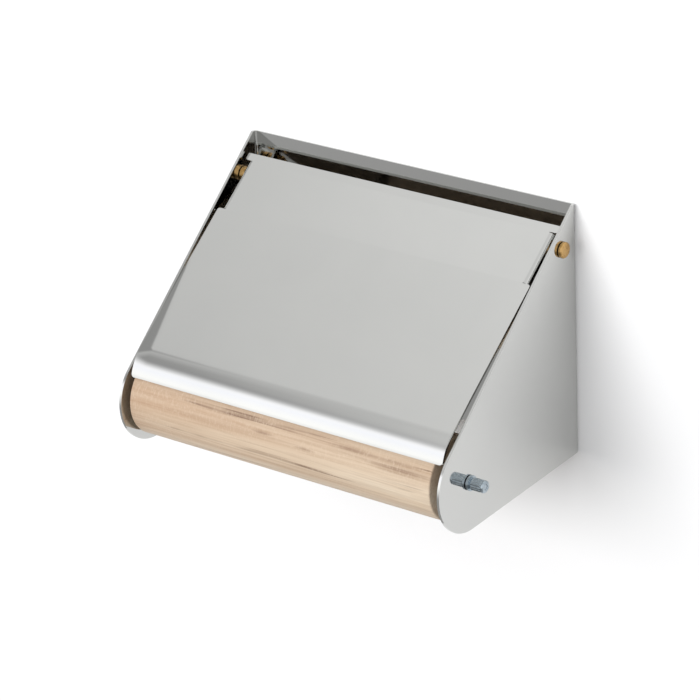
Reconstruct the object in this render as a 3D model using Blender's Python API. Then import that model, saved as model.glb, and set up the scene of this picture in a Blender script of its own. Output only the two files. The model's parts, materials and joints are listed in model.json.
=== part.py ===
"""Wall-mounted toilet paper holder: a folded steel body with a hinged lid over a wooden roller.

Metres, +Z up. The wall is the plane y = 0 and the holder stands out from it along -Y.
The origin is the centre of the back face. In the side view, a point is given as its
reach, the distance out from the wall, and its height above the body's bottom back corner.
"""

import math

import bmesh
import bpy
from mathutils import Vector

# Body: one folded sheet, a back plate with a cheek bent forward at each end.
BODY_WIDTH = 0.1514
BODY_HEIGHT = 0.0997
SHEET = 0.0010
BEND_RADIUS = 0.0020
TOP_LEDGE = 0.0023
BOTTOM_CORNER_RADIUS = 0.0015

# The rounded front end of each cheek.
LOBE_REACH = 0.0701
LOBE_HEIGHT = 0.0143
LOBE_RADIUS = 0.0186

# Roller, placed from the lobe's centre, and the holes bored in its ends.
ROLLER_FORWARD = 0.0001
ROLLER_LIFT = 0.0005
ROLLER_SETBACK = 0.0026
ROLLER_GAP_LEFT = 0.0020
ROLLER_GAP_RIGHT = 0.0052
ROLLER_CHAMFER = 0.0006
BORE_DEPTH_LEFT = 0.0125
BORE_DEPTH_RIGHT = 0.0150

# Lid: a flat panel hung between the cheeks, with a lip curled over the roller.
LID_TOP_REACH = 0.0067
LID_TOP_DROP = 0.0072
LID_OVER_ROLLER = 0.0040
LIP_START = 0.0086
LIP_RADIUS = 0.0196
LIP_TURN = math.radians(37.5)
LIP_CORNER_RADIUS = 0.0015
LID_SIDE_GAP = 0.0011
LID_SHOULDER_RADIUS = 0.0010

# The lid's ears, folded down beside the hinge.
EAR_STEP = 0.0016
EAR_TOP = 0.0034
EAR_BOTTOM = 0.0255
EAR_END_DEPTH = 0.0040
EAR_RELIEF = 0.0006
EAR_BOSS_RADIUS = 0.0040
EAR_BEND_RADIUS = 0.0020

# Hinge, one bolt, spacer and nut on each side, placed from the lid's top edge.
HINGE_ALONG = 0.0070
HINGE_DEPTH = 0.0043
BOLT_SHANK_RADIUS = 0.0015
BOLT_HEAD_RADIUS = 0.0031
BOLT_HEAD_LENGTH = 0.0014
BOLT_END_PAST_NUT = 0.0012
SPACER_RADIUS = 0.0030
NUT_ACROSS_FLATS = 0.0050
NUT_LENGTH = 0.0024

# Pins that carry the roller: a stud on the left cheek, a pull-out pin on the right.
PIN_RADIUS = 0.0022
STUD_FLANGE_RADIUS = 0.0045
STUD_FLANGE_LENGTH = 0.0012
STUD_REACH_INTO_BORE = 0.0100
COLLAR_RADIUS = 0.00295
COLLAR_LENGTH = 0.0009
GRIP_RADIUS = 0.0024
GRIP_GROOVE = 0.00025
GRIP_LENGTH = 0.0062
GRIP_CHAMFER = 0.0007
PIN_REACH_INTO_BORE = 0.0070

# Screws that hold the back plate to the wall.
SCREW_SPACING = 0.090
SCREW_DROP = 0.0297
SCREW_SHANK_RADIUS = 0.0020
SCREW_HEAD_RADIUS = 0.0042
SCREW_HEAD_LENGTH = 0.0026
RECESS_SPAN = 0.0042
RECESS_WIDTH = 0.0009
RECESS_DEPTH = 0.0015

# Clearance between pieces that touch.
TOUCH_GAP = 0.0003

# Worked out from the sizes above.
BOTTOM_Z = -BODY_HEIGHT / 2
OUTER_X = BODY_WIDTH / 2
INNER_X = OUTER_X - SHEET
LID_X = INNER_X - LID_SIDE_GAP
EAR_X = LID_X - EAR_STEP
ROLLER_REACH = LOBE_REACH + ROLLER_FORWARD
ROLLER_HEIGHT = LOBE_HEIGHT + ROLLER_LIFT
ROLLER_RADIUS = LOBE_RADIUS - ROLLER_SETBACK
SCREW_HEIGHT = BODY_HEIGHT - SCREW_DROP

# The panel's outer face runs from its top edge past the roller at a set distance from its axis.
LID_TOP_HEIGHT = BODY_HEIGHT - LID_TOP_DROP
LID_TO_AXIS = math.hypot(ROLLER_REACH - LID_TOP_REACH, LID_TOP_HEIGHT - ROLLER_HEIGHT)
LID_OFF_AXIS = ROLLER_RADIUS + SHEET + LID_OVER_ROLLER
LID_SLOPE = math.atan2(
    LID_TOP_HEIGHT - ROLLER_HEIGHT, ROLLER_REACH - LID_TOP_REACH
) - math.asin(LID_OFF_AXIS / LID_TO_AXIS)
LID_PANEL_LENGTH = math.sqrt(LID_TO_AXIS**2 - LID_OFF_AXIS**2) - LIP_START
HINGE_REACH = (
    LID_TOP_REACH + HINGE_ALONG * math.cos(LID_SLOPE) - HINGE_DEPTH * math.sin(LID_SLOPE)
)
HINGE_HEIGHT = (
    LID_TOP_HEIGHT - HINGE_ALONG * math.sin(LID_SLOPE) - HINGE_DEPTH * math.cos(LID_SLOPE)
)
HINGE_HOLE_RADIUS = BOLT_SHANK_RADIUS + TOUCH_GAP
PIN_HOLE_RADIUS = PIN_RADIUS + TOUCH_GAP
SCREW_HOLE_RADIUS = SCREW_SHANK_RADIUS + TOUCH_GAP
ROLLER_LEFT_X = -INNER_X + ROLLER_GAP_LEFT
ROLLER_RIGHT_X = INNER_X - ROLLER_GAP_RIGHT

SEGMENTS = 48
SMALL_SEGMENTS = 32
GRIP_GROOVES = 16
ARC_STEP = math.radians(6)
SHARP_ANGLE = math.radians(30)

MATERIALS = {
    "stainless_steel": ((0.60, 0.60, 0.59), 0.16, 1.0),
    "brass": ((0.72, 0.47, 0.20), 0.25, 1.0),
    "zinc_plated_steel": ((0.55, 0.58, 0.61), 0.28, 1.0),
    "maple": ((0.74, 0.55, 0.38), 0.50, 0.0),
}


def clear_scene():
    for obj in list(bpy.data.objects):
        bpy.data.objects.remove(obj, do_unlink=True)


def material(name):
    """The named material, made the first time it is asked for."""
    if name in bpy.data.materials:
        return bpy.data.materials[name]
    color, roughness, metallic = MATERIALS[name]
    made = bpy.data.materials.new(name)
    made.use_nodes = True
    shader = made.node_tree.nodes["Principled BSDF"]
    shader.inputs["Base Color"].default_value = (*color, 1.0)
    shader.inputs["Roughness"].default_value = roughness
    shader.inputs["Metallic"].default_value = metallic
    made.diffuse_color = (*color, 1.0)
    return made


def at(x, reach, height):
    """The world point at a reach from the wall and a height above the bottom corner."""
    return Vector((x, -reach, BOTTOM_Z + height))


def add_object(name, bm, material_name, origin=Vector((0, 0, 0))):
    """An object of this mesh, whose points are world points, with its origin where a joint needs it."""
    bmesh.ops.translate(bm, verts=bm.verts, vec=-origin)
    bmesh.ops.recalc_face_normals(bm, faces=bm.faces)
    for face in bm.faces:
        face.smooth = True
    for edge in bm.edges:
        edge.smooth = edge.calc_face_angle(math.pi) < SHARP_ANGLE
    mesh = bpy.data.meshes.new(name)
    bm.to_mesh(mesh)
    bm.free()
    mesh.materials.append(material(material_name))
    obj = bpy.data.objects.new(name, mesh)
    obj.location = origin
    bpy.context.scene.collection.objects.link(obj)
    return obj


def combine(obj, operation, tool):
    """Applies a helper to an object with a boolean, and hides the helper."""
    tool.hide_render = True
    tool.display_type = "WIRE"
    modifier = obj.modifiers.new(tool.name, "BOOLEAN")
    modifier.operation = operation
    modifier.solver = "EXACT"
    modifier.object = tool


def arc(center, radius, start, end, step=ARC_STEP):
    """Points of an arc in a plane, both ends included."""
    count = max(2, math.ceil(abs(end - start) / step))
    angles = [start + (end - start) * i / count for i in range(count + 1)]
    return [
        (center[0] + radius * math.cos(a), center[1] + radius * math.sin(a))
        for a in angles
    ]


def prism(outline, place, low, high):
    """A solid from a flat outline, carried from low to high. place(point, depth) gives the world point."""
    bm = bmesh.new()
    near = [bm.verts.new(place(point, low)) for point in outline]
    far = [bm.verts.new(place(point, high)) for point in outline]
    bm.faces.new(near)
    bm.faces.new(list(reversed(far)))
    for i in range(len(outline)):
        j = (i + 1) % len(outline)
        bm.faces.new((near[j], near[i], far[i], far[j]))
    return bm


def side_prism(outline, low_x, high_x):
    return prism(outline, lambda point, x: at(x, *point), low_x, high_x)


def turned(profile, center, axis=Vector((1, 0, 0)), segments=SEGMENTS, grooved=(), ring=False):
    """A solid of revolution from (position along the axis, radius) points.

    The profile indices in grooved alternate between ridge and groove, and ring closes a
    profile that has a hole through it. Otherwise the profile starts and ends on the axis.
    """
    side = axis.orthogonal().normalized()
    up = axis.cross(side)
    bm = bmesh.new()
    rings = []
    for index, (along, radius) in enumerate(profile):
        if radius == 0:
            rings.append([bm.verts.new(center + axis * along)] * segments)
            continue
        loop = []
        for k in range(segments):
            turn = 2 * math.pi * k / segments
            depth = GRIP_GROOVE if index in grooved and k % 2 else 0
            spoke = side * math.cos(turn) + up * math.sin(turn)
            loop.append(bm.verts.new(center + axis * along + spoke * (radius - depth)))
        rings.append(loop)
    pairs = list(zip(rings, rings[1:]))
    if ring:
        pairs.append((rings[-1], rings[0]))
    for lower, upper in pairs:
        for k in range(segments):
            m = (k + 1) % segments
            corners = [lower[k], lower[m], upper[m], upper[k]]
            bm.faces.new(list(dict.fromkeys(corners)))
    return bm


def tangent_points(point, center, radius):
    """The angles, seen from a circle's centre, of the two tangents from an outside point."""
    across = point[0] - center[0]
    up = point[1] - center[1]
    toward = math.atan2(up, across)
    spread = math.acos(radius / math.hypot(across, up))
    return toward - spread, toward + spread


def cheek_outline():
    """The cheeks' side view: wall edge, short ledge, sloped front edge, round lobe, sloped underside."""
    lobe = (LOBE_REACH, LOBE_HEIGHT)
    front_start, _ = tangent_points((TOP_LEDGE, BODY_HEIGHT), lobe, LOBE_RADIUS)
    _, under_end = tangent_points((0, 0), lobe, LOBE_RADIUS)
    under_slope = under_end + math.pi / 2
    corner_lift = BOTTOM_CORNER_RADIUS * math.tan(math.pi / 4 + under_slope / 2)
    corner = (BOTTOM_CORNER_RADIUS, corner_lift)
    return (
        [(0, BODY_HEIGHT), (TOP_LEDGE, BODY_HEIGHT)]
        + arc(lobe, LOBE_RADIUS, front_start, under_end)
        + arc(corner, BOTTOM_CORNER_RADIUS, under_end, -math.pi)
    )


def channel_outline():
    """The body's plan view as (x, reach): a U of one sheet thickness, bent at both back corners."""
    inner_radius = BEND_RADIUS - SHEET
    front = LOBE_REACH + 2 * LOBE_RADIUS
    bend_x = OUTER_X - BEND_RADIUS
    outer = (
        [(OUTER_X, front)]
        + arc((bend_x, BEND_RADIUS), BEND_RADIUS, 0, -math.pi / 2, math.radians(15))
        + arc((-bend_x, BEND_RADIUS), BEND_RADIUS, -math.pi / 2, -math.pi, math.radians(15))
        + [(-OUTER_X, front)]
    )
    inner = (
        [(-INNER_X, front)]
        + arc((-bend_x, BEND_RADIUS), inner_radius, -math.pi, -math.pi / 2, math.radians(15))
        + arc((bend_x, BEND_RADIUS), inner_radius, -math.pi / 2, 0, math.radians(15))
        + [(INNER_X, front)]
    )
    return outer + inner


def hinge_bore_tool():
    profile = [(-BODY_WIDTH, 0), (-BODY_WIDTH, HINGE_HOLE_RADIUS)]
    profile += [(BODY_WIDTH, HINGE_HOLE_RADIUS), (BODY_WIDTH, 0)]
    bm = turned(profile, at(0, HINGE_REACH, HINGE_HEIGHT), segments=SMALL_SEGMENTS)
    return add_object("hinge_bore_tool", bm, "brass")


def pin_bore_tool():
    profile = [(0, 0), (0, PIN_HOLE_RADIUS), (BODY_WIDTH, PIN_HOLE_RADIUS), (BODY_WIDTH, 0)]
    bm = turned(profile, at(0, ROLLER_REACH, ROLLER_HEIGHT), segments=SMALL_SEGMENTS)
    return add_object("pin_bore_tool", bm, "zinc_plated_steel")


def screw_bore_tool(name, x):
    depth = 4 * SHEET
    profile = [(-depth, 0), (-depth, SCREW_HOLE_RADIUS)]
    profile += [(depth, SCREW_HOLE_RADIUS), (depth, 0)]
    bm = turned(profile, at(x, 0, SCREW_HEIGHT), Vector((0, -1, 0)), SMALL_SEGMENTS)
    return add_object(name, bm, "zinc_plated_steel")


def build_body(hinge_bore, screw_places):
    drop = LOBE_RADIUS

    def place(point, height):
        return at(point[0], point[1], height)

    channel = prism(channel_outline(), place, -drop, BODY_HEIGHT + drop)
    body = add_object("body_shell", channel, "stainless_steel")
    outline = side_prism(cheek_outline(), -BODY_WIDTH, BODY_WIDTH)
    combine(body, "INTERSECT", add_object("cheek_outline_tool", outline, "stainless_steel"))
    combine(body, "DIFFERENCE", hinge_bore)
    combine(body, "DIFFERENCE", pin_bore_tool())
    for side, x in screw_places.items():
        combine(body, "DIFFERENCE", screw_bore_tool(f"screw_bore_tool_{side}", x))


def on_lid(along, depth):
    """(reach, height) of a point this far down the lid's slope and this deep under its outer face."""
    reach = LID_TOP_REACH + along * math.cos(LID_SLOPE) - depth * math.sin(LID_SLOPE)
    height = LID_TOP_HEIGHT - along * math.sin(LID_SLOPE) - depth * math.cos(LID_SLOPE)
    return reach, height


def on_lip(turn, depth):
    """As on_lid, for a point turned this far round the lip's curl."""
    radius = LIP_RADIUS - depth
    along = LID_PANEL_LENGTH + radius * math.sin(turn)
    return on_lid(along, LIP_RADIUS - radius * math.cos(turn))


def corner_inset(distance, radius):
    """How far a rounded corner has drawn the side in, this far from the end of a sheet."""
    if distance >= radius:
        return 0
    return radius - math.sqrt(radius**2 - (radius - distance) ** 2)


def ear_stations():
    """The lower edge of an ear as (along, depth): a hinge boss with a straight front, then a straight run."""
    hinge = (HINGE_ALONG, HINGE_DEPTH)
    end = (EAR_BOTTOM, EAR_END_DEPTH)
    start_turn = math.acos((EAR_TOP - HINGE_ALONG) / EAR_BOSS_RADIUS)
    _, end_turn = tangent_points(end, hinge, EAR_BOSS_RADIUS)
    return [*arc(hinge, EAR_BOSS_RADIUS, start_turn, end_turn), end]


def ear_section(depth):
    """Half of the lid's section beside the hinge, as (x, depth): outer and inner sides of one ear."""
    bend = (EAR_X - EAR_BEND_RADIUS, EAR_BEND_RADIUS)
    step = math.radians(15)
    outer = arc(bend, EAR_BEND_RADIUS, -math.pi / 2, 0, step)
    inner = arc(bend, EAR_BEND_RADIUS - SHEET, -math.pi / 2, 0, step)
    return [*outer, (EAR_X, depth), (EAR_X - SHEET, depth), *reversed(inner)]


def shoulder_stations(along, toward):
    """Where the sheet widens from between the ears to its full width, as (along, half width)."""
    stations = [(along, EAR_X - EAR_BEND_RADIUS)]
    for i in range(5):
        down = LID_SHOULDER_RADIUS * (1 - math.cos(math.pi / 2 * i / 4))
        half = LID_X - corner_inset(down, LID_SHOULDER_RADIUS)
        stations.append((along + toward * (EAR_RELIEF / 2 + down), half))
    return stations


def lip_stations():
    """The curled lip as (turn, half width), closer together at its rounded corners."""
    corner_turn = LIP_CORNER_RADIUS / LIP_RADIUS
    turns = [(LIP_TURN - corner_turn) * i / 5 for i in range(5)]
    turns += [
        LIP_TURN - corner_turn * (1 - math.sin(math.pi / 2 * i / 5))
        for i in range(6)
    ]
    return [
        (turn, LID_X - corner_inset((LIP_TURN - turn) * LIP_RADIUS, LIP_CORNER_RADIUS))
        for turn in turns
    ]


def bridge(bm, upper, lower):
    """Faces between two matching rings of vertices."""
    for k in range(len(upper)):
        m = (k + 1) % len(upper)
        bm.faces.new((upper[m], upper[k], lower[k], lower[m]))


def sheet_ring(bm, outer, inner, half):
    """The four corners of a flat section across the lid."""
    corners = ((half, outer), (half, inner), (-half, inner), (-half, outer))
    return [bm.verts.new(at(x, *point)) for x, point in corners]


def flat_rings(bm, stations):
    return [sheet_ring(bm, on_lid(a, 0), on_lid(a, SHEET), half) for a, half in stations]


def lid_mesh():
    """The lid as one sheet: a flat strip above the ears, eared rings beside the hinge, then the panel and lip."""
    bm = bmesh.new()
    eared = []
    for along, depth in ear_stations():
        half = ear_section(depth)
        points = half + [(-x, d) for x, d in reversed(half)]
        eared.append([bm.verts.new(at(x, *on_lid(along, d))) for x, d in points])
    side = len(ear_section(EAR_END_DEPTH))
    necks = []
    for ring in (eared[0], eared[-1]):
        bm.faces.new(ring[:side])
        bm.faces.new(ring[side:])
        necks.append([ring[0], ring[side - 1], ring[side], ring[-1]])

    above = shoulder_stations(EAR_TOP - EAR_RELIEF, -1) + [(0, LID_X)]
    top = [necks[0], *flat_rings(bm, above)]
    below = flat_rings(bm, shoulder_stations(EAR_BOTTOM + EAR_RELIEF, 1))
    lip = [
        sheet_ring(bm, on_lip(turn, 0), on_lip(turn, SHEET), half)
        for turn, half in lip_stations()
    ]
    bottom = [necks[1], *below, *lip]
    for rings in (eared, top, bottom):
        for upper, lower in zip(rings, rings[1:]):
            bridge(bm, upper, lower)
    bm.faces.new(top[-1])
    bm.faces.new(bottom[-1])
    return bm


def build_lid(hinge_bore):
    lid = add_object("lid", lid_mesh(), "stainless_steel", at(0, HINGE_REACH, HINGE_HEIGHT))
    combine(lid, "DIFFERENCE", hinge_bore)


def build_hinge(side, sign, hinge_bore):
    """Bolt from outside, spacer between cheek and ear, nut inside the ear."""
    hinge = at(0, HINGE_REACH, HINGE_HEIGHT)
    axis = Vector((sign, 0, 0))
    head_base = OUTER_X + TOUCH_GAP
    head_face = head_base + BOLT_HEAD_LENGTH
    nut_outer = EAR_X - SHEET - TOUCH_GAP
    nut_inner = nut_outer - NUT_LENGTH
    bolt_end = nut_inner - BOLT_END_PAST_NUT
    chamfer = BOLT_HEAD_RADIUS / 6
    profile = [
        (bolt_end, 0),
        (bolt_end, BOLT_SHANK_RADIUS - chamfer / 2),
        (bolt_end + chamfer / 2, BOLT_SHANK_RADIUS),
        (head_base, BOLT_SHANK_RADIUS),
        (head_base, BOLT_HEAD_RADIUS - chamfer / 3),
        (head_base + chamfer / 3, BOLT_HEAD_RADIUS),
        (head_face - chamfer, BOLT_HEAD_RADIUS),
        (head_face - chamfer / 3, BOLT_HEAD_RADIUS - chamfer / 2),
        (head_face, BOLT_HEAD_RADIUS - 1.5 * chamfer),
        (head_face, 0),
    ]
    add_object(f"hinge_bolt_{side}", turned(profile, hinge, axis), "brass")

    spacer_inner = EAR_X + TOUCH_GAP
    spacer_outer = INNER_X - TOUCH_GAP
    profile = [
        (spacer_inner, HINGE_HOLE_RADIUS),
        (spacer_inner, SPACER_RADIUS),
        (spacer_outer, SPACER_RADIUS),
        (spacer_outer, HINGE_HOLE_RADIUS),
    ]
    spacer = turned(profile, hinge, axis, SMALL_SEGMENTS, ring=True)
    add_object(f"hinge_spacer_{side}", spacer, "brass")

    corner_radius = NUT_ACROSS_FLATS / math.sqrt(3)
    turns = [math.pi / 3 * i - LID_SLOPE for i in range(6)]
    outline = [
        (HINGE_REACH + corner_radius * math.cos(t), HINGE_HEIGHT + corner_radius * math.sin(t))
        for t in turns
    ]
    nut_low, nut_high = sorted((sign * nut_inner, sign * nut_outer))
    nut = add_object(f"hinge_nut_{side}", side_prism(outline, nut_low, nut_high), "brass")
    combine(nut, "DIFFERENCE", hinge_bore)


def build_roller():
    """The wooden roller, bored at each end for the pin that carries it."""
    axis_point = at(0, ROLLER_REACH, ROLLER_HEIGHT)
    rim = ROLLER_RADIUS - ROLLER_CHAMFER
    profile = [
        (ROLLER_LEFT_X + BORE_DEPTH_LEFT, 0),
        (ROLLER_LEFT_X + BORE_DEPTH_LEFT, PIN_HOLE_RADIUS),
        (ROLLER_LEFT_X, PIN_HOLE_RADIUS),
        (ROLLER_LEFT_X, rim),
        (ROLLER_LEFT_X + ROLLER_CHAMFER, ROLLER_RADIUS),
        (ROLLER_RIGHT_X - ROLLER_CHAMFER, ROLLER_RADIUS),
        (ROLLER_RIGHT_X, rim),
        (ROLLER_RIGHT_X, PIN_HOLE_RADIUS),
        (ROLLER_RIGHT_X - BORE_DEPTH_RIGHT, PIN_HOLE_RADIUS),
        (ROLLER_RIGHT_X - BORE_DEPTH_RIGHT, 0),
    ]
    bm = turned(profile, axis_point, segments=2 * SEGMENTS)
    add_object("roller", bm, "maple", axis_point)


def build_roller_stud():
    """The stud fixed to the inside of the left cheek. Its flange keeps the roller off the sheet."""
    axis_point = at(0, ROLLER_REACH, ROLLER_HEIGHT)
    base = -INNER_X + TOUCH_GAP
    flange_face = base + STUD_FLANGE_LENGTH
    tip = ROLLER_LEFT_X + STUD_REACH_INTO_BORE
    chamfer = PIN_RADIUS / 4
    profile = [
        (base, 0),
        (base, STUD_FLANGE_RADIUS),
        (flange_face, STUD_FLANGE_RADIUS),
        (flange_face, PIN_RADIUS),
        (tip - chamfer, PIN_RADIUS),
        (tip, PIN_RADIUS - chamfer),
        (tip, 0),
    ]
    bm = turned(profile, axis_point, segments=SMALL_SEGMENTS)
    add_object("roller_stud", bm, "zinc_plated_steel")


def build_release_pin():
    """The pin pulled out to free the roller, pushed home until its collar meets the cheek."""
    axis_point = at(0, ROLLER_REACH, ROLLER_HEIGHT)
    tip = ROLLER_RIGHT_X - PIN_REACH_INTO_BORE
    collar = OUTER_X + TOUCH_GAP
    grip = collar + COLLAR_LENGTH
    end = grip + GRIP_LENGTH
    chamfer = PIN_RADIUS / 4
    profile = [
        (tip, 0),
        (tip, PIN_RADIUS - chamfer),
        (tip + chamfer, PIN_RADIUS),
        (collar, PIN_RADIUS),
        (collar, COLLAR_RADIUS),
        (grip, COLLAR_RADIUS),
        (grip, GRIP_RADIUS),
        (end - GRIP_CHAMFER, GRIP_RADIUS),
        (end, GRIP_RADIUS - GRIP_CHAMFER),
        (end, 0),
    ]
    bm = turned(profile, axis_point, segments=2 * GRIP_GROOVES, grooved=(6, 7))
    add_object("release_pin", bm, "zinc_plated_steel", axis_point)


def build_wall_screw(side, x):
    """A pan-head screw through the back plate, with its shank ending at the wall face."""
    center = at(x, 0, SCREW_HEIGHT)
    outward = Vector((0, -1, 0))
    seat = SHEET + TOUCH_GAP
    crown = seat + SCREW_HEAD_LENGTH
    edge = SCREW_HEAD_LENGTH / 3
    profile = [
        (TOUCH_GAP, 0),
        (TOUCH_GAP, SCREW_SHANK_RADIUS),
        (seat, SCREW_SHANK_RADIUS),
        (seat, SCREW_HEAD_RADIUS),
        (seat + edge, SCREW_HEAD_RADIUS),
        (crown - edge, 0.88 * SCREW_HEAD_RADIUS),
        (crown, 0.55 * SCREW_HEAD_RADIUS),
        (crown, 0),
    ]
    bm = turned(profile, center, outward, SMALL_SEGMENTS)
    screw = add_object(f"wall_screw_{side}", bm, "zinc_plated_steel")
    long = RECESS_SPAN / 2
    thin = RECESS_WIDTH / 2
    cross = [
        (sx * a, sy * b)
        for sx, sy, turn_corner in ((1, 1, 1), (-1, 1, -1), (-1, -1, 1), (1, -1, -1))
        for a, b in ((long, thin), (thin, thin), (thin, long))[::turn_corner]
    ]

    def place(point, reach):
        return at(x + point[0], reach, SCREW_HEIGHT + point[1])

    recess = prism(cross, place, crown - RECESS_DEPTH, crown + RECESS_DEPTH)
    combine(screw, "DIFFERENCE", add_object(f"recess_tool_{side}", recess, "zinc_plated_steel"))


def main():
    clear_scene()
    screw_places = {"left": -SCREW_SPACING / 2, "right": SCREW_SPACING / 2}
    hinge_bore = hinge_bore_tool()
    build_body(hinge_bore, screw_places)
    build_lid(hinge_bore)
    for side, sign in (("left", -1), ("right", 1)):
        build_hinge(side, sign, hinge_bore)
    build_roller()
    build_roller_stud()
    build_release_pin()
    for side, x in screw_places.items():
        build_wall_screw(side, x)


main()
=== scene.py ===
"""Looks of the wall-mounted toilet paper holder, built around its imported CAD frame.

Metres, +Z up. The wall is the plane y = 0 and the holder stands out from it along -Y.
In the side view, a point is given as its reach, the distance out from the wall, and its
height above the body's bottom back corner.
"""

import json
import math

import bmesh
import bpy
from mathutils import Matrix, Vector

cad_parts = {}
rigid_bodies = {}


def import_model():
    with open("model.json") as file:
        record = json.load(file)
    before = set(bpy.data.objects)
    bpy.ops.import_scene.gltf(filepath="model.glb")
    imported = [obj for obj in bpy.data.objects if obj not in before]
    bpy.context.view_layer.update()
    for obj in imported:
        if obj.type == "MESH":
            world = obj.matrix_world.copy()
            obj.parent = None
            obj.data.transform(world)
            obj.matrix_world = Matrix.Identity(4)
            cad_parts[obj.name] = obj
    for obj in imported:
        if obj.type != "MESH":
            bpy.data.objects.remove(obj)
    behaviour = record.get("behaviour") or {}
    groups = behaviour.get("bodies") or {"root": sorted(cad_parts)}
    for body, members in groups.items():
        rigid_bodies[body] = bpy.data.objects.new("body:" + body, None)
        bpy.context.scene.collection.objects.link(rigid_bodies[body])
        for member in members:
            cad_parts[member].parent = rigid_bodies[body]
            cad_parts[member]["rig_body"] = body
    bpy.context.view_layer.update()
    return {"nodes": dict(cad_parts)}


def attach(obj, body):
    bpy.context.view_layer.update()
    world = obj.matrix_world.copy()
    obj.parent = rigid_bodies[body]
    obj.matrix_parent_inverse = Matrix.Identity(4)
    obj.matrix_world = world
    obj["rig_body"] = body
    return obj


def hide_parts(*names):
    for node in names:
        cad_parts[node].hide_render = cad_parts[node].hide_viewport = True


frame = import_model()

# Body: one folded sheet.
BODY_WIDTH = 0.1514
BODY_HEIGHT = 0.0997
SHEET = 0.0010
BEND_RADIUS = 0.0020
TOP_LEDGE = 0.0023
BOTTOM_CORNER_RADIUS = 0.0015
LOBE_REACH = 0.0701
LOBE_HEIGHT = 0.0143
LOBE_RADIUS = 0.0186

# Roller.
ROLLER_FORWARD = 0.0001
ROLLER_LIFT = 0.0005
ROLLER_SETBACK = 0.0026
ROLLER_GAP_LEFT = 0.0020
ROLLER_GAP_RIGHT = 0.0052
ROLLER_CHAMFER = 0.0006
BORE_DEPTH_LEFT = 0.0125
BORE_DEPTH_RIGHT = 0.0150

# Lid and its ears.
LID_TOP_REACH = 0.0067
LID_TOP_DROP = 0.0072
LID_OVER_ROLLER = 0.0040
LIP_START = 0.0086
LIP_RADIUS = 0.0196
LIP_TURN = math.radians(37.5)
LIP_CORNER_RADIUS = 0.0015
LID_SIDE_GAP = 0.0011
LID_SHOULDER_RADIUS = 0.0010
EAR_STEP = 0.0016
EAR_TOP = 0.0034
EAR_BOTTOM = 0.0255
EAR_END_DEPTH = 0.0040
# Narrower than the CAD's slits, which would show as dark lines that the photo doesn't have.
EAR_RELIEF = 0.0002
EAR_BOSS_RADIUS = 0.0040
EAR_BEND_RADIUS = 0.0020

# Hinge hardware.
HINGE_ALONG = 0.0070
HINGE_DEPTH = 0.0043
BOLT_SHANK_RADIUS = 0.0015
BOLT_HEAD_RADIUS = 0.0031
BOLT_HEAD_LENGTH = 0.0014
BOLT_RIM_LENGTH = 0.00077
BOLT_FACE_RADIUS = 0.002232
BOLT_HEAD_EASE = 0.000093
BOLT_END_PAST_NUT = 0.0012
SPACER_RADIUS = 0.0030
NUT_ACROSS_FLATS = 0.0050
NUT_LENGTH = 0.0024
NUT_CHAMFER_LENGTH = 0.000432
NUT_CHAMFER_DEPTH = 0.0006912

# Pins that carry the roller.
PIN_RADIUS = 0.0022
STUD_FLANGE_RADIUS = 0.0045
STUD_FLANGE_LENGTH = 0.0012
STUD_REACH_INTO_BORE = 0.0100
COLLAR_RADIUS = 0.00295
COLLAR_LENGTH = 0.0009
GRIP_RADIUS = 0.0024
GRIP_GROOVE = 0.00022
GRIP_LENGTH = 0.0062
GRIP_CHAMFER = 0.0007
GRIP_NECK = 0.0005
GRIP_NECK_SLOPE = 0.0002
GRIP_END_GROOVE = 0.000154
GRIP_DIMPLE_DEPTH = 0.0003
GRIP_DIMPLE_RADIUS = 0.00108
GRIP_DIMPLE_FLOOR_RADIUS = 0.000912
PIN_REACH_INTO_BORE = 0.0070

# Wall screws.
SCREW_SPACING = 0.090
SCREW_DROP = 0.0297
SCREW_SHANK_RADIUS = 0.0020
SCREW_HEAD_RADIUS = 0.0042
SCREW_HEAD_LENGTH = 0.0026
SCREW_RIM_LENGTH = 0.00091
RECESS_SPAN = 0.0042
RECESS_WIDTH = 0.0009
RECESS_DEPTH = 0.0015

TOUCH_GAP = 0.0003
EDGE_BREAK = 0.00014

# Worked out from the sizes above.
BOTTOM_Z = -BODY_HEIGHT / 2
OUTER_X = BODY_WIDTH / 2
INNER_X = OUTER_X - SHEET
LID_X = INNER_X - LID_SIDE_GAP
EAR_X = LID_X - EAR_STEP
ROLLER_REACH = LOBE_REACH + ROLLER_FORWARD
ROLLER_HEIGHT = LOBE_HEIGHT + ROLLER_LIFT
ROLLER_RADIUS = LOBE_RADIUS - ROLLER_SETBACK
SCREW_HEIGHT = BODY_HEIGHT - SCREW_DROP
LID_TOP_HEIGHT = BODY_HEIGHT - LID_TOP_DROP
LID_TO_AXIS = math.hypot(ROLLER_REACH - LID_TOP_REACH, LID_TOP_HEIGHT - ROLLER_HEIGHT)
LID_OFF_AXIS = ROLLER_RADIUS + SHEET + LID_OVER_ROLLER
LID_SLOPE = math.atan2(
    LID_TOP_HEIGHT - ROLLER_HEIGHT, ROLLER_REACH - LID_TOP_REACH
) - math.asin(LID_OFF_AXIS / LID_TO_AXIS)
LID_PANEL_LENGTH = math.sqrt(LID_TO_AXIS**2 - LID_OFF_AXIS**2) - LIP_START
HINGE_REACH = (
    LID_TOP_REACH + HINGE_ALONG * math.cos(LID_SLOPE) - HINGE_DEPTH * math.sin(LID_SLOPE)
)
HINGE_HEIGHT = (
    LID_TOP_HEIGHT - HINGE_ALONG * math.sin(LID_SLOPE) - HINGE_DEPTH * math.cos(LID_SLOPE)
)
HINGE_HOLE_RADIUS = BOLT_SHANK_RADIUS + TOUCH_GAP
PIN_HOLE_RADIUS = PIN_RADIUS + TOUCH_GAP
SCREW_HOLE_RADIUS = SCREW_SHANK_RADIUS + TOUCH_GAP
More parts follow.
